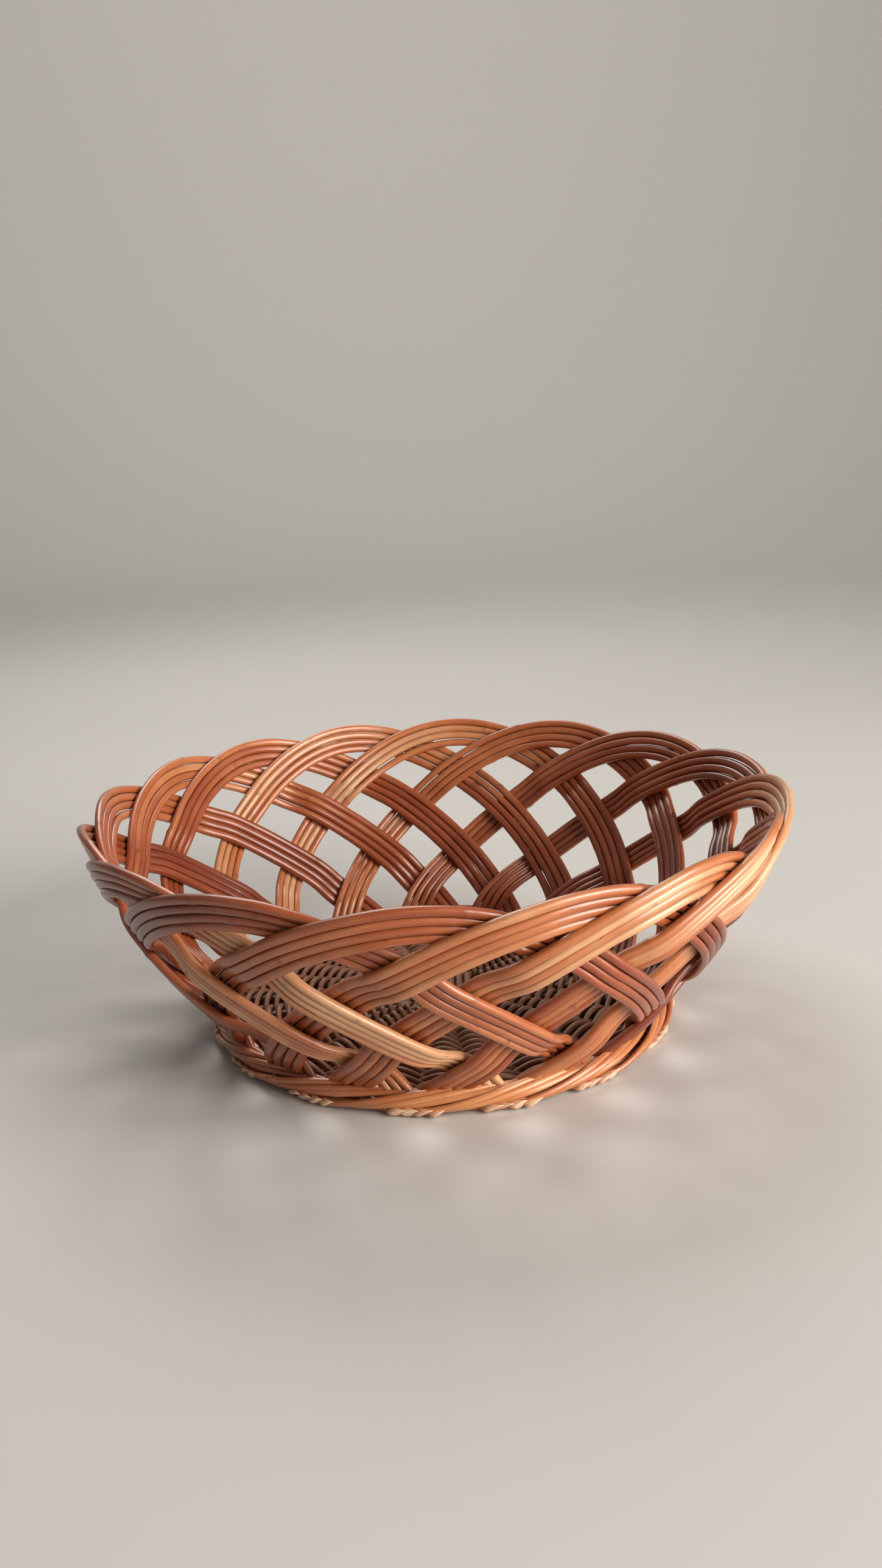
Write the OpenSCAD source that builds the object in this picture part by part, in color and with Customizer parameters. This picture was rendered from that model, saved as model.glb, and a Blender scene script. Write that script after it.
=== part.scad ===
// Round openwork fruit basket of willow rods.
// Bundles of four rods rise from a twined base, arch over as a scalloped rim and come down again.
// Neighbouring bundles weave over and under each other, and a rope-like border makes the foot.
// The origin is on the table, under the middle of the basket. +Z is up.

/* [Wall] */
// Radius of the rim, to the middle of a bundle at the top of its arch
rim_radius = 156; // [130:1:180]
// Height of the rim above the table, to the middle of a bundle at the top of its arch
rim_height = 101; // [85:1:125]
// Radius of the wall where it leaves the foot border
waist_radius = 99.5; // [92:0.5:106]
// Height at which the wall leaves the foot border
waist_height = 11; // [9:0.5:14]
// How far the wall bulges outwards between waist and rim
belly = 6; // [0:0.5:12]

/* [Bundles] */
// Diameter of a side rod
rod_diameter = 4; // [3:0.1:4.6]
// Distance between neighbouring rods of a bundle
rod_pitch = 4.2; // [4:0.1:5]
// Angle round the basket from the top of an arch to the waist
leg_sweep = 61; // [54:0.5:68]
// Angle over which a bundle turns from rising to falling
crown_sweep = 30; // [20:1:40]
// How far a bundle stands off the middle of the wall where it crosses another
weave_offset = 2.2; // [1.8:0.1:3]
// Unevenness of the hand spacing of the bundles, in degrees
hand_spacing = 1; // [0:0.1:1.5]

/* [Foot border] */
// Radius of the foot border, to its middle
border_radius = 104; // [100:0.5:108]
// Distance of the border rods from the middle of the border
border_wrap = 4.6; // [4.6:0.1:5]
// Diameter of a border rod
border_rod_diameter = 2.6; // [2.2:0.1:2.6]

/* [Base] */
// Diameter of a base stick
stick_diameter = 3.6; // [3:0.1:4]
// Diameter of a base weaver
weaver_diameter = 2.5; // [2:0.1:3]
// Distance between neighbouring rows of base weavers
row_pitch = 4.8; // [4:0.1:6]
// Radius of the first row of base weavers
first_row_radius = 24; // [20:0.5:28]

/* [Hidden] */
// Sixteen bundles and as many border strands stand round the basket
bundle_count = 16;
spacing = 360 / bundle_count;
two_digits = function(k) str(k < 9 ? "0" : "", k + 1);
BUNDLE_NODES = [for (k = [0:bundle_count - 1]) str("bundle_", two_digits(k))];
STRAND_NODES = [for (k = [0:bundle_count - 1]) str("foot_strand_", two_digits(k))];

// Bundle 1 has its crown a little short of the half turn, and the others follow clockwise
first_crown = 174;
rods_in_bundle = 4;
// Angle by which the rods run on below the waist, behind the border, and how much further a rod
// goes for each millimetre it lies towards the outside of the arch, so that the ends are level
tucked_sweep = 3;
end_levelling = 0.23;
rod_sides = 6;
rod_rings = 20;

// Sideways distance and height from waist to rim, and the straight distance between them
wall_run = rim_radius - waist_radius;
wall_rise = rim_height - waist_height;
wall_slant = norm([wall_run, wall_rise]);

// A strand has three rods and wraps once round the border in this angle round the basket. The rods
// of all the strands lie evenly round the border, this far apart
rods_in_strand = 3;
strand_lay = 72;
wrap_step = 360 * spacing / (strand_lay * rods_in_strand);
wrap_end = 150;
strand_rings = 11;
// A rod lies flat on the table where its wrap angle is within this of straight down
flat_reach = 30;
flat_half = border_rod_diameter / 2 * cos(180 / rod_sides);
border_height = flat_half + border_wrap;

// The base lies between its lower and upper weavers, with the sticks between them
base_edge_radius = waist_radius - 5;
base_middle = 6;
row_count = floor((base_edge_radius - first_row_radius) / row_pitch) + 1;
weaver_height = (stick_diameter + weaver_diameter) / 2;
sticks_each_way = 7;
// Sticks of one direction lie side by side at the middle of the base, this far to each side
stick_pitch = stick_diameter + 0.4;
crossing_half = sticks_each_way * stick_pitch / 2;
// Past the crossing a stick bends level over this length
level_run = 3;

willow = [0.72, 0.45, 0.22];
border_willow = [0.64, 0.37, 0.17];
base_willow = [0.52, 0.38, 0.25];

function unit(v) = v / norm(v);
function clamp_to(v, low, high) = min(max(v, low), high);
function around(radius, angle, height) = [radius * cos(angle), radius * sin(angle), height];

// Angle of the top of arch k, with the small unevenness of hand spacing
function crown_angle(k) =
    first_crown - spacing * k
    + hand_spacing * (cos(45 * k - 162) + cos(90 * k + 67) + cos(112.5 * k + 130));

// Share of the way from waist to rim at angle phi from the crown: straight legs, round crown
function climb(phi) =
    1 - (sqrt(1 + pow(phi / crown_sweep, 2)) - 1) / (sqrt(1 + pow(leg_sweep / crown_sweep, 2)) - 1);

// Radius and height of the wall, and its outward normal, at share u of the way up
function wall_radius(u) = waist_radius + wall_run * u + 4 * belly * u * (1 - u) * wall_rise / wall_slant;
function wall_height(u) = waist_height + wall_rise * u - 4 * belly * u * (1 - u) * wall_run / wall_slant;
function wall_normal(u, angle) =
    let (
        bulge = 4 * belly * (1 - 2 * u) / wall_slant,
        outward = wall_rise - bulge * wall_run,
        downward = wall_run + bulge * wall_rise
    )
    unit(around(outward, angle, -downward));

// Height of a bundle off the wall: out, in, out on the way up and in, out, in on the way down,
// changing every second crossing
function weave(phi) =
    let (
        crossings = abs(phi) / (spacing / 2),
        wave = crossings < 0.5 ? 0 : 1.5 * sin(90 * (crossings - 0.5))
    )
    -sign(phi) * weave_offset * clamp_to(wave, -1, 1);

function bundle_middle(k, phi) =
    let (u = climb(phi), angle = crown_angle(k) + phi)
    around(wall_radius(u), angle, wall_height(u));

// Sideways place of rod j in its bundle: the last one is on the outside of the arch
function rod_place(j) = (j - (rods_in_bundle - 1) / 2) * rod_pitch;

// A point on rod j of bundle k: moved off the wall by the weave and sideways by its place
function bundle_point(k, j, phi) =
    let (
        step = 0.5,
        normal = wall_normal(climb(phi), crown_angle(k) + phi),
        along = unit(bundle_middle(k, phi + step) - bundle_middle(k, phi - step))
    )
    bundle_middle(k, phi) + weave(phi) * normal + rod_place(j) * unit(cross(normal, along));

// Angle that a border rod's flat side faces: straight down on the table, then outwards by a half turn
function flat_side(wrap) =
    let (past = abs(wrap + 90), swing = max(0, past - flat_reach) * 90 / (90 - flat_reach))
    past < 90 ? -90 + sign(wrap + 90) * swing : wrap;

// A rod carried along its centre points, with one flat side facing each point's normal
module rod(centres, normals, diameter) {
    last = len(centres) - 1;
    points = [
        for (i = [0:last])
        let (
            along = unit(centres[min(i + 1, last)] - centres[max(i - 1, 0)]),
            side = unit(cross(normals[i], along)),
            out = cross(along, side)
        )
        for (m = [0:rod_sides - 1])
        let (turn = m * 360 / rod_sides)
        centres[i] + diameter / 2 * (cos(turn) * side + sin(turn) * out)
    ];
    start_cap = [for (m = [0:rod_sides - 1]) m];
    end_cap = [for (m = [rod_sides - 1:-1:0]) last * rod_sides + m];
    walls = [
        for (i = [0:last - 1], m = [0:rod_sides - 1])
        let (a = i * rod_sides + m, b = i * rod_sides + (m + 1) % rod_sides)
        each [[a, a + rod_sides, b + rod_sides], [a, b + rod_sides, b]]
    ];
    polyhedron(points, concat([start_cap], [end_cap], walls));
}

// Four rods side by side, up from the base, over the rim and down to the foot
module bundle(k) {
    color(willow)
    for (j = [0:rods_in_bundle - 1]) {
        reach = leg_sweep + tucked_sweep + end_levelling * rod_place(j);
        phis = [for (i = [0:rod_rings - 1]) -reach + 2 * reach * i / (rod_rings - 1)];
        normals = [for (phi = phis) wall_normal(climb(phi), crown_angle(k) + phi)];
        rod([for (phi = phis) bundle_point(k, j, phi)], normals, rod_diameter);
    }
}

// Three rods that go under the border, up its outside and in over its top, holding down the
// bundle that comes down behind them
module foot_strand(k) {
    wraps = [for (i = [0:strand_rings - 1]) -wrap_end + 2 * wrap_end * i / (strand_rings - 1)];
    color(border_willow)
    for (j = [0:rods_in_strand - 1]) {
        middle = crown_angle(k) + leg_sweep - (j - 1) * strand_lay * wrap_step / 360;
        angles = [for (wrap = wraps) middle + strand_lay * wrap / 360];
        centres = [
            for (i = [0:strand_rings - 1])
            around(
                border_radius + border_wrap * cos(wraps[i]),
                angles[i],
                abs(wraps[i] + 90) <= flat_reach ? flat_half : border_height + border_wrap * sin(wraps[i])
            )
        ];
        normals = [
            for (i = [0:strand_rings - 1])
            around(cos(flat_side(wraps[i])), angles[i], sin(flat_side(wraps[i])))
        ];
        rod(centres, normals, border_rod_diameter);
    }
}

// Half of a stick: its tip at the edge, where it comes level, and its bend at the crossing
function stick_half(place, lift, end) =
    let (
        bend = [crossing_half, place * stick_pitch, 0],
        tip = around(base_edge_radius, place * 90 / sticks_each_way, 0),
        level = bend + level_run * unit(tip - bend),
        mirrored = function(p, z) [end * p.x, p.y, z]
    )
    [mirrored(tip, 0), mirrored(level, 0), mirrored(bend, lift)];

// Sticks along X that cross the middle side by side, lifted, and fan out evenly to the edge
module stick_fan(lift) {
    for (i = [0:sticks_each_way - 1]) {
        place = i - (sticks_each_way - 1) / 2;
        right_half = stick_half(place, lift, 1);
        left_half = stick_half(place, lift, -1);
        points = concat(left_half, [for (n = [2:-1:0]) right_half[n]]);
        rod(points, [for (p = points) [0, 0, 1]], stick_diameter);
    }
}

module base_sticks_lengthwise() {
    color(base_willow) translate([0, 0, base_middle]) rotate(90) stick_fan(stick_diameter / 2);
}

module base_sticks_crosswise() {
    color(base_willow) translate([0, 0, base_middle]) stick_fan(-stick_diameter / 2);
}

// Close rings of thin rod from the crossing out to the edge
module weaver_rows(height) {
    color(base_willow)
    for (row = [0:row_count - 1])
        translate([0, 0, height])
        rotate_extrude($fn = 96)
        translate([first_row_radius + row * row_pitch, 0])
        circle(d = weaver_diameter, $fn = 24);
}

module base_weavers_upper() {
    weaver_rows(base_middle + weaver_height);
}

module base_weavers_lower() {
    weaver_rows(base_middle - weaver_height);
}

for (k = [0:bundle_count - 1])
    bundle(k);
for (k = [0:bundle_count - 1])
    foot_strand(k);
base_sticks_lengthwise();
base_sticks_crosswise();
base_weavers_upper();
base_weavers_lower();
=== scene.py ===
import bpy
import numpy as np
from mathutils import Matrix, Vector


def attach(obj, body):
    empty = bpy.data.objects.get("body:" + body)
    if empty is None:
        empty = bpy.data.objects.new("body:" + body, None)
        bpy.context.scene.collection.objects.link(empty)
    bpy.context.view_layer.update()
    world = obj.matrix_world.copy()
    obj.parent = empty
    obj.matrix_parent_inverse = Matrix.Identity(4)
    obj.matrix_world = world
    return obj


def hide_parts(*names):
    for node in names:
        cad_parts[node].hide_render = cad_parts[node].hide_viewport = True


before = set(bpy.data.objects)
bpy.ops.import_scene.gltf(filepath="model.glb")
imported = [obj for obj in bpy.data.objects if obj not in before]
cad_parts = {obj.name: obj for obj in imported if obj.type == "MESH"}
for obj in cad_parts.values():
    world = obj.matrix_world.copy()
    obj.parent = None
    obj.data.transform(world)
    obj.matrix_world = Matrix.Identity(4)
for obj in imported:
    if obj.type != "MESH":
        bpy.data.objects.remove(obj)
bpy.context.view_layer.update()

# ---- Side bundles ----------------------------------------------------------------------------
# Sixteen bundles, each of four peeled, boiled and varnished willow rods side by side. Each rises
# from the base, arches over to make a scallop of the rim, and comes down again to the foot. On
# the way it passes outside two of its neighbours and inside the next two, which holds it.
MM = 0.001
BUNDLE_COUNT = 16
SPACING = 360 / BUNDLE_COUNT
RODS_IN_BUNDLE = 4
ROD_PITCH = 4.2 * MM
ROD_RINGS = 340
ROD_SIDES = 16
FIRST_CROWN = 174
HAND_SPACING = 1

RIM_RADIUS = 156 * MM
RIM_HEIGHT = 101 * MM
WAIST_RADIUS = 99.5 * MM
WAIST_HEIGHT = 11 * MM
BELLY = 6 * MM
WALL_RUN = RIM_RADIUS - WAIST_RADIUS
WALL_RISE = RIM_HEIGHT - WAIST_HEIGHT
WALL_SLANT = np.hypot(WALL_RUN, WALL_RISE)
LEG_SWEEP = 61
CROWN_SWEEP = 30
WEAVE_OFFSET = 2.4 * MM
WEAVE_STEEPNESS = 3
CROWN_SLOPE = 0.4

# The rising end is tucked in behind the foot border. The falling end goes on under the border and
# out, where it is cut off. A rod nearer the outside of the arch goes on further, to end level.
TUCKED_SWEEP = 3
END_LEVELLING = 0.23 / MM
OUT_START = 56
OUT_SWEEP = 11
OUT_CUT = 0.94
OUT_RADIUS = 109.2 * MM
OUT_HEIGHT = 1.6 * MM
LOWEST_MIDDLE = ROD_PITCH / 2 + 0.4 * MM


def degrees_wave(angle):
    """Cosine of an angle in degrees."""
    return np.cos(np.radians(angle))


def crown_angle(k):
    """Angle of the top of arch k: even spacing, plus three slow waves for spacing by hand."""
    uneven = degrees_wave(45 * k - 162) + degrees_wave(90 * k + 67) + degrees_wave(112.5 * k + 130)
    return FIRST_CROWN - SPACING * k + HAND_SPACING * uneven


def smooth(t):
    """Smooth step: 3 t^2 - 2 t^3, with t held between 0 and 1."""
    t = np.clip(t, 0, 1)
    return t * t * (3 - 2 * t)


def unit(v):
    """Vectors divided by their lengths."""
    return v / np.linalg.norm(v, axis=-1, keepdims=True)


def around(radius, angle, height):
    """Points at a radius, an angle in degrees and a height, as an array of x, y, z."""
    a = np.radians(angle)
    return np.stack(np.broadcast_arrays(radius * np.cos(a), radius * np.sin(a), height), -1)


def climb(phi):
    """Share of the way from waist to rim, at phi degrees from the crown: a hyperbola in phi."""
    def bend(x):
        return np.sqrt(1 + (x / CROWN_SWEEP) ** 2) - 1

    return 1 - bend(phi) / bend(LEG_SWEEP)


def wall(phi, angle):
    """Point of the wall and its outward normal: a straight slant from waist to rim, pushed out
    square to itself by the parabola 4 * BELLY * u * (1 - u)."""
    u = climb(phi)
    bulge = 4 * BELLY * u * (1 - u) / WALL_SLANT
    slope = 4 * BELLY * (1 - 2 * u) / WALL_SLANT
    radius = WAIST_RADIUS + WALL_RUN * u + bulge * WALL_RISE
    height = WAIST_HEIGHT + WALL_RISE * u - bulge * WALL_RUN
    outward = WALL_RISE - slope * WALL_RUN
    downward = WALL_RUN + slope * WALL_RISE
    return around(radius, angle, height), unit(around(outward, angle, -downward))


def weave(phi):
    """Height off the wall: plus outside and minus inside, and odd about the crown. It is a sine of
    the crossings passed, which changes sides at every second one. From the crown to the first
    crossing it is a cubic that joins the sine smoothly. A tanh flattens it where bundles cross."""
    crossings = np.abs(phi) / (SPACING / 2)
    c = np.clip(crossings, 0, 1)
    first = np.sin(np.pi / 4)
    cubic = c * c * (3 - 2 * c) * first + (c**3 - c * c) * np.pi / 2 * first
    cubic = cubic + (c**3 - 2 * c * c + c) * CROWN_SLOPE
    wave = np.where(crossings < 1, cubic, np.sin(np.pi / 2 * (crossings - 0.5)))
    steep = np.tanh(WEAVE_STEEPNESS * wave) / np.tanh(WEAVE_STEEPNESS)
    return -np.sign(phi) * WEAVE_OFFSET * steep


def bundle_route(k, phi, place, lift):
    """Centre line of a rod of bundle k: the wall, plus the weave and the lift along the normal,
    plus the place to the side. Past OUT_START it runs out and down to the table."""
    angle = crown_angle(k) + phi
    middle, normal = wall(phi, angle)
    ahead, _ = wall(phi + 0.1, angle + 0.1)
    side = unit(np.cross(normal, ahead - middle))
    line = middle + (weave(phi) + lift)[:, None] * normal + place[:, None] * side
    radius = np.hypot(line[:, 0], line[:, 1])
    out = smooth((phi - OUT_START - END_LEVELLING * place) / OUT_SWEEP)
    line[:, :2] *= (1 + out * (OUT_RADIUS / radius - 1))[:, None]
    line[:, 2] += out * (OUT_HEIGHT - line[:, 2])
    line[:, 2] = np.maximum(line[:, 2], LOWEST_MIDDLE)
    return line, normal


MEAN_SCALE = 1.7


def wander(length, random, shortest, longest):
    """A slow random wave of about unit size: the mean of three sines, each with a random
    wavelength and phase, scaled up because they seldom peak together."""
    waves = 2 * np.pi / random.uniform(shortest, longest, 3)
    phases = random.uniform(0, 2 * np.pi, 3)
    return np.sin(length[:, None] * waves + phases).mean(-1) * MEAN_SCALE


# A rod is not quite round and not quite even. It is thicker at its leaf scars, which follow each
# other round it as the leaves of a stem do, by SCAR_TURN radians.
SQUARENESS = 2.4
UNEVENNESS = 0.025
UNEVEN_WAVES = (15 * MM, 50 * MM)
SCAR_COUNT = 16
SCAR_SPACING_MM = (38, 90)
SCAR_LENGTH = 1.7 * MM
SCAR_RISE = 0.3 * MM
SCAR_TURN = 2.4
# A slanting cut reaches back by CUT_REACH radii, and CUT_FACING is the side it faces, in radians.
# Its worn edge is CUT_EDGE radii deep, and the face inside it is CUT_FACE as wide as the rod.
CUT_REACH = 3
CUT_FACING = (1.1, 1.9)
CUT_EDGE = 0.12
CUT_FACE = 0.86
# Next to a slanting cut the wood is bare and pale, which fades out over BARE_LENGTH
BARE_LENGTH = 3 * MM
BARE_START = 1.4
BARE_SHARE = 0.8
# Painted shade darkens a rod where it comes nearest to the next one
GROOVE_START = 0.8
FIRST_GRAIN = 40


class Rods:
    """The rods of one piece, gathered as arrays until they are made into one mesh."""

    def __init__(self):
        self.points, self.faces, self.grain, self.marks = [], [], [], []
        self.count = 0

    def add(self, line, facing, radius, sides, random, tone, touches=(0, 0), slants=(0, 0), flat=1):
        """One rod along a centre line. At angle a round it a point is radius * (x * side + flat *
        y * out) off the line, where side and out are square to the line and to each other, and x
        and y are cos a and sin a, pushed out to the curve where |x|^2.4 + |y|^2.4 = 1. Leaf scars
        swell it by a bell curve, its ends are cut at a slant, and each cut has a worn edge. Tone
        is one number, or one for each point of the line. Touches has a 1 for each side where the
        next rod lies against this one, and painted shade darkens the rod there."""
        along = unit(np.gradient(line, axis=0))
        side = unit(np.cross(facing, along))
        out = np.cross(along, side)
        length = np.concatenate([[0], np.cumsum(np.linalg.norm(np.diff(line, axis=0), axis=1))])

        turn = 2 * np.pi * np.arange(sides) / sides
        powers = np.abs(np.cos(turn)) ** SQUARENESS + np.abs(np.sin(turn)) ** SQUARENESS
        pressed = powers ** (-1 / SQUARENESS)
        x, y = np.cos(turn) * pressed, np.sin(turn) * pressed * flat

        scars = np.cumsum(random.uniform(*SCAR_SPACING_MM, SCAR_COUNT)) * MM
        facings = random.uniform(0, 2 * np.pi) + SCAR_TURN * np.arange(SCAR_COUNT)
        swell = np.exp(-(((length[:, None] - scars) / SCAR_LENGTH) ** 2))
        near = (0.5 + 0.5 * np.cos(turn[:, None] - facings)) ** 3
        scar = (swell[:, None, :] * near[None]).sum(-1)
        size = radius * (1 + UNEVENNESS * wander(length, random, *UNEVEN_WAVES))
        size = size[:, None] + SCAR_RISE * scar
        rings = size[..., None] * (x[:, None] * side[:, None] + y[:, None] * out[:, None])

        reach = CUT_REACH * size.mean()
        for slant, gap, end in ((slants[0], length, 0), (slants[1], length[-1] - length, -1)):
            lean = -np.cos(turn - random.uniform(*CUT_FACING)) * slant * size[end]
            rings += (1 - smooth(gap / reach))[:, None, None] * lean[:, None] * along[end]
        centre = line[:, None]
        edge = CUT_EDGE * size.mean()
        first = centre[0] + CUT_FACE * rings[0] - edge * along[0]
        last = centre[-1] + CUT_FACE * rings[-1] + edge * along[-1]
        points = np.concatenate([first[None], centre + rings, last[None]])
        count = len(points)
        length = np.concatenate([[length[0] - edge], length, [length[-1] + edge]])

        offset = random.uniform(0, FIRST_GRAIN)
        grain = np.empty((count, sides, 3))
        grain[..., 0] = (length + offset)[:, None]
        grain[..., 1:] = np.stack([np.cos(turn), np.sin(turn)], -1) * size.mean()
        grain[[0, -1], :, 1:] *= CUT_FACE
        # The groove mark is painted shade on the sides where the next rod lies close
        touching = np.where(np.cos(turn) > 0, touches[1], touches[0])
        nearest = np.clip((np.abs(np.cos(turn)) - GROOVE_START) / (1 - GROOVE_START), 0, 1)
        gaps = np.stack([length, length[-1] - length])
        bare = smooth(BARE_START - gaps / BARE_LENGTH) * np.minimum(slants, 1)[:, None]
        marks = np.zeros((count, sides, 4))
        marks[..., 0] = np.pad(np.broadcast_to(tone, len(line)), 1, mode="edge")[:, None]
        marks[1:-1, :, 1] = np.clip(scar, 0, 1)
        marks[..., 2] = touching * nearest
        marks[..., 3] = BARE_SHARE * bare.max(0)[:, None]
        marks[[0, -1], :, 3] = 1

        ring, corner = np.meshgrid(np.arange(count - 1), np.arange(sides), indexing="ij")
        a = self.count + ring * sides + corner
        b = self.count + ring * sides + (corner + 1) % sides
        walls = np.stack([a, b, b + sides, a + sides], -1).reshape(-1, 4)
        start_cap = self.count + np.arange(sides)[::-1]
        end_cap = self.count + (count - 1) * sides + np.arange(sides)
        self.points.append(points.reshape(-1, 3))
        self.faces += [*walls.tolist(), start_cap.tolist(), end_cap.tolist()]
        self.grain.append(grain.reshape(-1, 3))
        self.marks.append(marks.reshape(-1, 4))
        self.count += count * sides

    def make(self, name, material, node):
        """Makes the mesh, with its grain and marks as attributes, and puts it on the frame."""
        mesh = bpy.data.meshes.new(name)
        mesh.from_pydata(np.concatenate(self.points).tolist(), [], self.faces)
        grain = mesh.attributes.new("grain", "FLOAT_VECTOR", "POINT")
        grain.data.foreach_set("vector", np.concatenate(self.grain).astype(np.float32).ravel())
        marks = np.concatenate(self.marks).astype(np.float32)
        for i, mark in enumerate(("tone", "scar", "groove", "cut")):
            attribute = mesh.attributes.new(mark, "FLOAT", "POINT")
            attribute.data.foreach_set("value", marks[:, i].copy())
        mesh.shade_smooth()
        mesh.materials.append(material)
        piece = bpy.data.objects.new(name, mesh)
        bpy.context.scene.collection.objects.link(piece)
        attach(piece, "root")
        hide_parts(node)


class Value:
    """A number in a material. Arithmetic on it adds Math nodes."""

    def __init__(self, recipe, socket):
        self.recipe, self.socket = recipe, socket

    def math(self, operation, *values):
        node = self.recipe.node(
            "ShaderNodeMath", {"operation": operation}, dict(enumerate(values))
        )
        return Value(self.recipe, node.outputs[0])

    def __add__(self, other):
        return self.math("ADD", self, other)

    def __sub__(self, other):
        return self.math("SUBTRACT", self, other)

    def __rsub__(self, other):
        return self.math("SUBTRACT", other, self)

    def __mul__(self, other):
        return self.math("MULTIPLY", self, other)

    def __pow__(self, other):
        return self.math("POWER", self, other)

    __radd__ = __add__
    __rmul__ = __mul__

    def between(self, low, high):
        """0 below low, 1 above high, and a smooth step between them."""
        node = self.recipe.node(
            "ShaderNodeMapRange",
            {"interpolation_type": "SMOOTHSTEP"},
            {"Value": self, "From Min": low, "From Max": high},
        )
        return Value(self.recipe, node.outputs[0])


def linear(red, green, blue):
    """A colour from its 0 to 255 display values, as the shaders take it."""
    shown = np.array([red, green, blue]) / 255
    light = np.where(shown > 0.04045, ((shown + 0.055) / 1.055) ** 2.4, shown / 12.92)
    return (*light, 1)


class Recipe:
    """The nodes of one material."""

    def __init__(self, name):
        self.material = bpy.data.materials.new(name)
        self.material.use_nodes = True
        self.tree = self.material.node_tree
        self.shader = self.tree.nodes["Principled BSDF"]

    def node(self, kind, settings, inputs):
        """Adds a node: its settings are set first, and then the values or links of its sockets."""
        node = self.tree.nodes.new(kind)
        for name, value in settings.items():
            if name == "stops":
                ramp = node.color_ramp.elements
                while len(ramp) < len(value):
                    ramp.new(0.5)
                for element, (place, colour) in zip(ramp, value):
                    element.position, element.color = place, colour
            else:
                setattr(node, name, value)
        self.put(node, inputs)
        return node

    def put(self, node, inputs):
        """Sets or links sockets of a node."""
        for name, value in inputs.items():
            socket = node.inputs[name]
            if isinstance(value, Value):
                value = value.socket
            if isinstance(value, bpy.types.NodeSocket):
                self.tree.links.new(value, socket)
            else:
                socket.default_value = value

    def attribute(self, name, output="Fac"):
        node = self.node("ShaderNodeAttribute", {"attribute_name": name}, {})
        return node.outputs[output]

    def value(self, name):
        return Value(self, self.attribute(name))

    def stretched(self, vector, *factors):
        """A vector with each part multiplied."""
        settings = {"operation": "MULTIPLY"}
        return self.node("ShaderNodeVectorMath", settings, {0: vector, 1: factors}).outputs[0]

    def noise(self, vector, detail=2.0, roughness=0.5, scale=1.0):
        inputs = {"Vector": vector, "Scale": scale, "Detail": detail, "Roughness": roughness}
        return Value(self, self.node("ShaderNodeTexNoise", {}, inputs).outputs["Fac"])

    def mix(self, share, first, second):
        """The second colour mixed into the first by a share."""
        settings = {"data_type": "RGBA"}
        return self.node("ShaderNodeMix", settings, {0: share, 6: first, 7: second}).outputs[2]

    def ramp(self, place, stops):
        return self.node("ShaderNodeValToRGB", {"stops": stops}, {"Fac": place}).outputs["Color"]


# How often each pattern repeats in a metre, along a rod and then twice across it
FIBRES = (30, 2300, 2300)
STREAKS = (10, 700, 700)
FLECKS = (260, 1500, 1500)
PITH = (900, 1100, 1100)
CLOUDS = 28
FIBRE_SHADE = linear(112, 50, 20)
FIBRE_LIGHT = linear(226, 168, 104)
STAIN_AND_GROOVE_SHADE = linear(70, 28, 12)
PITH_COLOURS = linear(206, 150, 112), linear(240, 205, 172)
VARNISH_ROUGHNESS = 0.36


def willow(name, colours, dull=0.0, groove_shade=0.45):
    """Peeled willow under varnish: a tone for each rod, long fibres and streaks along it, cloudy
    patches over it, painted shade in the grooves between rods, dark marks round the scars, and a
    pale pith at each cut."""
    w = Recipe(name)
    grain = w.attribute("grain", "Vector")
    place = w.node("ShaderNodeTexCoord", {}, {}).outputs["Object"]
    fibres = w.noise(w.stretched(grain, *FIBRES), 3, 0.6)
    streaks = w.noise(w.stretched(grain, *STREAKS), 2)
    clouds = w.noise(place, 3, 0.6, CLOUDS)
    flecks = w.noise(w.stretched(grain, *FLECKS), 1)
    pith = w.noise(w.stretched(grain, *PITH), 2)
    scar, groove, cut = w.value("scar"), w.value("groove"), w.value("cut")

    tone = w.value("tone") + (streaks - 0.5) * 0.25 + (clouds - 0.5) * 0.6
    colour = w.ramp(tone, colours)
    colour = w.mix((1 - fibres.between(0.35, 0.62)) * 0.16, colour, FIBRE_SHADE)
    colour = w.mix(fibres.between(0.58, 0.75) * 0.25, colour, FIBRE_LIGHT)
    # Painted shade in the grooves between rods, mixed with the rods' own dark marks at the scars
    # and flecks
    dark = groove * groove_shade + scar**2 * 0.55 + flecks.between(0.69, 0.76) * 0.5
    colour = w.mix(dark, colour, STAIN_AND_GROOVE_SHADE)
    colour = w.mix(cut, colour, w.mix(pith, *PITH_COLOURS))

    rough = VARNISH_ROUGHNESS + dull + (clouds - 0.5) * 0.16 + (streaks - 0.5) * 0.12
    rough = rough + cut * 0.3 + groove * 0.15
    relief = fibres * 0.6 + streaks * 0.3 - scar * 0.4
    bump = {"Strength": 0.35, "Distance": 0.00025, "Height": relief}
    normal = w.node("ShaderNodeBump", {}, bump).outputs["Normal"]
    varnish = {"Coat Weight": 0.6 - dull * 4, "Coat Roughness": 0.24, "IOR": 1.48}
    w.put(w.shader, {"Base Color": colour, "Roughness": rough, "Normal": normal} | varnish)
    return w.material


SIDE_COLOURS = [
    (0.0, linear(120, 50, 24)),
    (0.3, linear(156, 76, 40)),
    (0.6, linear(188, 112, 66)),
    (1.0, linear(222, 174, 128)),
]
# How pale each bundle is where it rises and where it falls, from red-brown at 0 to honey at 1.
# This is partly the willow's own tone and partly painted light: some legs on the lit right are
# paler and some in shade are darker.
BUNDLE_TONES_AND_LIGHT = [
    (0.5, 0.35), (0.65, 0.3), (0.5, 0.3), (0.6, 0.7),
    (0.5, 0.7), (0.4, 0.5), (0.2, 0.35), (0.2, 0.25),
    (0.9, 0.2), (0.7, 0.3), (0.8, 0.3), (0.7, 0.1),
    (0.4, 0.15), (0.1, 0.45), (0.1, 0.8), (0.3, 0.7),
]
# The change from one tone to the other starts before the crown, and the rising foot is darker
TONE_START = 10
TONE_SWEEP = 40
TONE_SPREAD = 0.15
FOOT_SHADE = 0.35
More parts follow.
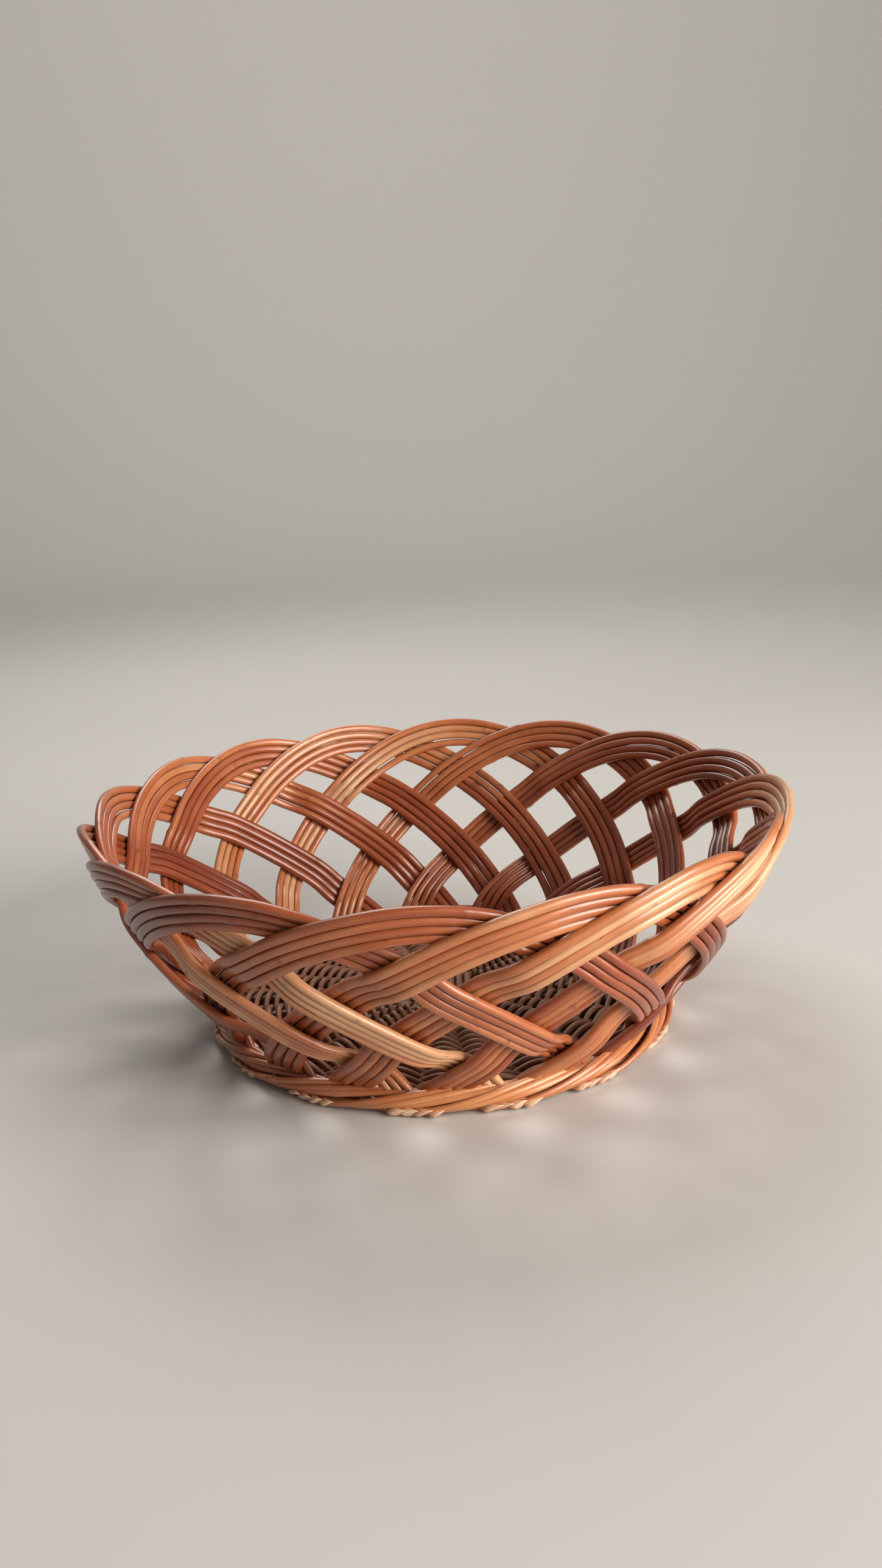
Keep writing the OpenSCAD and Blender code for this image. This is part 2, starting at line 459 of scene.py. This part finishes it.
# Thickness as a share of the rod pitch, at the butt at the rising end and at the tip
BUTT_SHARE = 1.06
TIP_SHARE = 0.84
THICKNESS_SPREAD = (0.98, 1.02)
ROD_FLATTENING = 0.93
SIDE_SLANTS = (1.3, 2.0)
END_SPREAD = 0.5
# The rods wander a little where nothing holds them, and some bundles gape between two rods
HELD_SWEEP = 12
WANDER_ASIDE = 0.12 * MM
WANDER_LIFT = 0.14 * MM
WANDER_WAVES = (60 * MM, 160 * MM)
GAPE_MM = (-0.2, 1.1)
GAPE_PHI = (-42, 34)
GAPE_SWEEP = 13
side_willow = willow("varnished_side_willow", SIDE_COLOURS)

for k in range(BUNDLE_COUNT):
    random = np.random.default_rng(100 + k)
    rods = Rods()
    rising, falling = BUNDLE_TONES_AND_LIGHT[k]
    gape = max(random.uniform(*GAPE_MM), 0) * MM
    gape_phi = random.uniform(*GAPE_PHI)
    gape_rod = random.integers(1, RODS_IN_BUNDLE)
    for j in range(RODS_IN_BUNDLE):
        level = (j - (RODS_IN_BUNDLE - 1) / 2) * ROD_PITCH
        start = -LEG_SWEEP - TUCKED_SWEEP - END_LEVELLING * level
        end = OUT_START + OUT_SWEEP * OUT_CUT + END_LEVELLING * level
        end += random.uniform(-END_SPREAD, END_SPREAD)
        phi = np.linspace(start, end, ROD_RINGS)
        length = np.radians(phi - start) * RIM_RADIUS
        free = smooth((phi - start) / HELD_SWEEP) * smooth((end - phi) / HELD_SWEEP)
        opening = gape * np.exp(-(((phi - gape_phi) / GAPE_SWEEP) ** 2))
        taper = np.linspace(BUTT_SHARE, TIP_SHARE, ROD_RINGS)
        place = level * taper + free * WANDER_ASIDE * wander(length, random, *WANDER_WAVES)
        place = place + opening * (0.5 if j >= gape_rod else -0.5)
        lift = free * WANDER_LIFT * wander(length, random, *WANDER_WAVES)
        line, normal = bundle_route(k, phi, place, lift)
        radius = ROD_PITCH / 2 * taper * random.uniform(*THICKNESS_SPREAD)
        touches = (int(j > 0), int(j < RODS_IN_BUNDLE - 1))
        tone = rising + (falling - rising) * smooth((phi + TONE_START) / TONE_SWEEP)
        tone = tone - FOOT_SHADE * smooth(-(phi + TONE_START) / TONE_SWEEP)
        tone = tone + random.uniform(-TONE_SPREAD, TONE_SPREAD)
        slants = (0, random.uniform(*SIDE_SLANTS))
        rods.add(
            line, normal, radius, ROD_SIDES, random, tone, touches, slants, ROD_FLATTENING
        )
    rods.make(f"willow_bundle_{k + 1:02d}", side_willow, f"bundle_{k + 1:02d}")

# ---- Foot border -----------------------------------------------------------------------------
# A rope of sixteen strands lies round the foot, each of three rods that go under the rope, up its
# outside and in over its top, each strand laid over the next. It holds down the bundles' ends.
BORDER_RADIUS = 104 * MM
BORDER_WRAP = 3.9 * MM
BORDER_ROD_DIAMETER = 2.7 * MM
BORDER_HEIGHT = 5.6 * MM
# The highest rod of a strand stands out by this from the middle one, and the lowest is let in
HIGHEST_ROD_PROUD = 0.9 * MM
RODS_IN_STRAND = 3
STRAND_LAY = 72
WRAP_STEP = 33
WRAP_END = 150
STRAND_RINGS = 110
BORDER_LOWEST = BORDER_ROD_DIAMETER / 2 + 0.02 * MM
BORDER_WANDER = 0.1 * MM
BORDER_WAVES = (40 * MM, 90 * MM)
BORDER_BUTT = 1.06
BORDER_FLATTENING = 0.85
BORDER_SLANT = 0.8
STRAND_TONES = (0.2, 0.65)
BORDER_SPREAD = 0.12
BORDER_COLOURS = [
    (0.0, linear(144, 68, 34)),
    (0.4, linear(176, 98, 54)),
    (0.75, linear(204, 138, 86)),
    (1.0, linear(222, 170, 120)),
]
# The border's rods touch on both sides, with weaker painted shade in the grooves between them
border_willow = willow("varnished_border_willow", BORDER_COLOURS, groove_shade=0.15)

for k in range(BUNDLE_COUNT):
    random = np.random.default_rng(300 + k)
    rods = Rods()
    strand_tone = random.uniform(*STRAND_TONES)
    for j in range(RODS_IN_STRAND):
        wrap = np.linspace(-WRAP_END, WRAP_END, STRAND_RINGS)
        middle = crown_angle(k) + LEG_SWEEP - (j - 1) * STRAND_LAY * WRAP_STEP / 360
        angle = middle + STRAND_LAY * wrap / 360
        length = np.radians(angle - angle[0]) * BORDER_RADIUS
        off = BORDER_WRAP + (j - 1) * HIGHEST_ROD_PROUD
        off = off + BORDER_WANDER * wander(length, random, *BORDER_WAVES)
        height = BORDER_HEIGHT + off * np.sin(np.radians(wrap))
        height = np.maximum(height, BORDER_LOWEST)
        line = around(BORDER_RADIUS + off * degrees_wave(wrap), angle, height)
        facing = around(degrees_wave(wrap), angle, np.sin(np.radians(wrap)))
        radius = BORDER_ROD_DIAMETER / 2 * np.linspace(BORDER_BUTT, 1, STRAND_RINGS)
        tone = strand_tone + random.uniform(-BORDER_SPREAD, BORDER_SPREAD)
        slants = (BORDER_SLANT, BORDER_SLANT)
        rods.add(
            line, facing, radius, ROD_SIDES, random, tone, (1, 1), slants, BORDER_FLATTENING
        )
    name = f"border_strand_{k + 1:02d}"
    rods.make(name, border_willow, f"foot_strand_{k + 1:02d}")

# ---- Base sticks -----------------------------------------------------------------------------
# Seven thicker sticks one way and seven the other cross at the middle of the bottom, where they
# lie side by side, and from there they are bent apart to fan out evenly to the edge.
STICK_DIAMETER = 3.6 * MM
STICKS_EACH_WAY = 7
STICK_PITCH = STICK_DIAMETER + 0.4 * MM
CROSSING_HALF = STICKS_EACH_WAY * STICK_PITCH / 2
LEVEL_RUN = 3 * MM
BASE_EDGE_RADIUS = WAIST_RADIUS - 3.2 * MM
BASE_MIDDLE = 6 * MM
STICK_RINGS = 160
STICK_SIDES = 12
STICK_TONES = (0.3, 0.7)
BASE_COLOURS = [
    (0.0, linear(84, 50, 34)),
    (0.4, linear(112, 70, 48)),
    (0.75, linear(136, 92, 64)),
    (1.0, linear(158, 114, 82)),
]
base_willow = willow("dull_base_willow", BASE_COLOURS, dull=0.14)

for number, (turn, lift, which) in enumerate(((90, 1, "lengthwise"), (0, -1, "crosswise"))):
    random = np.random.default_rng(500 + number)
    rods = Rods()
    for i in range(STICKS_EACH_WAY):
        step = i - (STICKS_EACH_WAY - 1) / 2
        tip = around(BASE_EDGE_RADIUS, step * 90 / STICKS_EACH_WAY, 0)
        x = np.linspace(-tip[0], tip[0], STICK_RINGS)
        past = np.abs(x) - CROSSING_HALF
        eased = np.where(past > 0, np.sqrt(past**2 + LEVEL_RUN**2) - LEVEL_RUN, 0)
        full = np.sqrt((tip[0] - CROSSING_HALF) ** 2 + LEVEL_RUN**2) - LEVEL_RUN
        y = step * STICK_PITCH + (tip[1] - step * STICK_PITCH) * eased / full
        z = lift * STICK_DIAMETER / 2 * (1 - smooth(past / LEVEL_RUN))
        c, s = degrees_wave(turn), degrees_wave(turn - 90)
        line = np.stack([c * x - s * y, s * x + c * y, BASE_MIDDLE + z], -1)
        up = np.broadcast_to([0.0, 0.0, 1.0], line.shape)
        radius = np.full(STICK_RINGS, STICK_DIAMETER / 2)
        rods.add(line, up, radius, STICK_SIDES, random, random.uniform(*STICK_TONES))
    rods.make(f"{which}_sticks", base_willow, f"base_sticks_{which}")

# ---- Base weavers ----------------------------------------------------------------------------
# Two thin rods are twined round the sticks in a spiral from the crossing to the edge. One passes
# over each stick and the other under it, and they change places in every gap.
WEAVER_DIAMETER = 2.5 * MM
ROW_PITCH = 4.8 * MM
FIRST_ROW_RADIUS = 24 * MM
STICK_ARMS = 4 * STICKS_EACH_WAY
WEAVER_RISE = (STICK_DIAMETER + WEAVER_DIAMETER) / 2
WEAVER_ASIDE = 1.22 * MM
RINGS_IN_GAP = 10
WEAVER_SIDES = 8
WEAVER_TONE = 0.5

rows = (BASE_EDGE_RADIUS - FIRST_ROW_RADIUS) / ROW_PITCH
for number, which in enumerate(("upper", "lower")):
    random = np.random.default_rng(600 + number)
    theta = np.linspace(0, 360 * rows, int(rows * STICK_ARMS * RINGS_IN_GAP))
    psi = np.pi * (theta * STICK_ARMS / 360 + number)
    radius = FIRST_ROW_RADIUS + ROW_PITCH * theta / 360 + WEAVER_ASIDE * np.sin(psi)
    line = around(radius, theta, BASE_MIDDLE + WEAVER_RISE * np.cos(psi))
    up = np.broadcast_to([0.0, 0.0, 1.0], line.shape)
    thickness = np.full(len(line), WEAVER_DIAMETER / 2)
    rods = Rods()
    rods.add(line, up, thickness, WEAVER_SIDES, random, WEAVER_TONE)
    rods.make(f"twined_weaver_{number + 1}", base_willow, f"base_weavers_{which}")

# ---- Floor, light and camera -----------------------------------------------------------------
# A pale floor that curves up into a wall all round, and a camera in front, a little above the
# rim. A large soft light stands at the right, a weak one at the left and one above and behind, and
# another lights the wall that the camera sees.
FLOOR_FLAT = 2.2
FLOOR_CURVE = 2.4
FLOOR_SIDES = 96
floor_angle = np.linspace(0, np.pi / 2, 24)
profile_radius = np.concatenate([[0.0, 0.4, 1.2], FLOOR_FLAT + FLOOR_CURVE * np.sin(floor_angle)])
profile_height = np.concatenate([[0.0, 0.0, 0.0], FLOOR_CURVE * (1 - np.cos(floor_angle))])
turn = np.arange(FLOOR_SIDES) * 360 / FLOOR_SIDES
floor_points = around(profile_radius[:, None], turn[None], profile_height[:, None])
bands = np.arange(len(profile_radius) - 1)
ring, corner = np.meshgrid(bands, np.arange(FLOOR_SIDES), indexing="ij")
a, b = ring * FLOOR_SIDES + corner, ring * FLOOR_SIDES + (corner + 1) % FLOOR_SIDES
floor_mesh = bpy.data.meshes.new("floor")
floor_faces = np.stack([a, a + FLOOR_SIDES, b + FLOOR_SIDES, b], -1).reshape(-1, 4)
floor_mesh.from_pydata(floor_points.reshape(-1, 3).tolist(), [], floor_faces.tolist())
floor_mesh.shade_smooth()
floor = bpy.data.objects.new("floor", floor_mesh)
bpy.context.scene.collection.objects.link(floor)
pale = Recipe("pale_floor")
pale.put(pale.shader, {"Base Color": linear(198, 194, 188), "Roughness": 0.7})
floor_mesh.materials.append(pale.material)

world = bpy.data.worlds.new("studio")
bpy.context.scene.world = world
world.use_nodes = True
world.node_tree.nodes["Background"].inputs["Color"].default_value = (0.97, 0.98, 1.0, 1)
world.node_tree.nodes["Background"].inputs["Strength"].default_value = 0.11


def area_light(name, place, size, power, colour, target=(0, 0, 0.05)):
    """A square light that faces its target, which is the middle of the basket if not given."""
    light = bpy.data.lights.new(name, "AREA")
    light.size, light.energy, light.color = size, power, colour
    lamp = bpy.data.objects.new(name, light)
    bpy.context.scene.collection.objects.link(lamp)
    lamp.location = place
    lamp.rotation_euler = (Vector(target) - lamp.location).to_track_quat("-Z", "Y").to_euler()


area_light("window_light", (1.42, -0.88, 0.62), 1.3, 60, (1.0, 0.97, 0.93))
area_light("fill_light", (-1.4, -1.0, 0.9), 1.2, 1.5, (0.93, 0.96, 1.0))
area_light("wall_light", (0, 1.4, 2.6), 1.6, 60, (1.0, 0.98, 0.96), (0, 4.2, 1.9))
area_light("top_light", (-0.25, 0.85, 1.2), 0.9, 12, (1.0, 0.98, 0.96))

CAMERA_PLACE = (0.0033, -0.5487, 0.2529)
CAMERA_PITCH = 14.58
CAMERA_ROLL = -2.48
camera = bpy.data.objects.new("camera", bpy.data.cameras.new("camera"))
bpy.context.scene.collection.objects.link(camera)
camera.data.lens = 28.034
camera.data.sensor_width = 36
camera.data.clip_start = 0.01
camera.matrix_world = (
    Matrix.Translation(CAMERA_PLACE)
    @ Matrix.Rotation(np.radians(90 - CAMERA_PITCH), 4, "X")
    @ Matrix.Rotation(np.radians(CAMERA_ROLL), 4, "Z")
)
bpy.context.scene.camera = camera
bpy.context.scene.view_settings.view_transform = "Standard"
